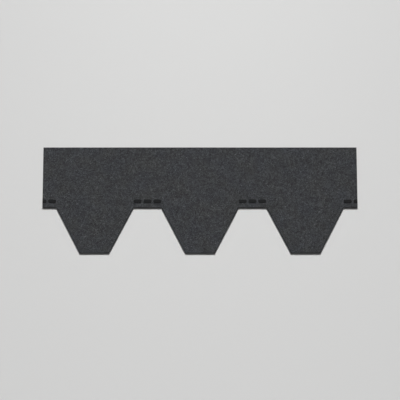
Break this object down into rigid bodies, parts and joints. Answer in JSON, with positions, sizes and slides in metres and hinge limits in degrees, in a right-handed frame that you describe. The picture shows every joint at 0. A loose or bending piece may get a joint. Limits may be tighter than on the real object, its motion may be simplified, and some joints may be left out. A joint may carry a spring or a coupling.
{
  "type": "hexagonal asphalt shingle",
  "caption": "Flexible asphalt roofing shingle strip with tapered tabs that show a hexagon pattern when courses overlap, and self-seal dabs above its slots.",
  "frame": {"origin": "middle of the underside, halfway along the strip and halfway between tab feet and top edge", "axes": "+X along the strip, +Y up the roof slope from the tab feet to the top edge, +Z out of the granule face"},
  "size_m": [1, 0.34, 0.004],
  "materials": {
    "asphalt_sheet": "charcoal mineral granules pressed into asphalt, matt, with black asphalt at the cut edges",
    "sealant": "black asphalt sealant, smooth, with a dull sheen"
  },
  "bodies": {
    "root": {"shingle_sheet": "asphalt_sheet", "seal_dabs": "sealant"}
  },
  "joints": []
}
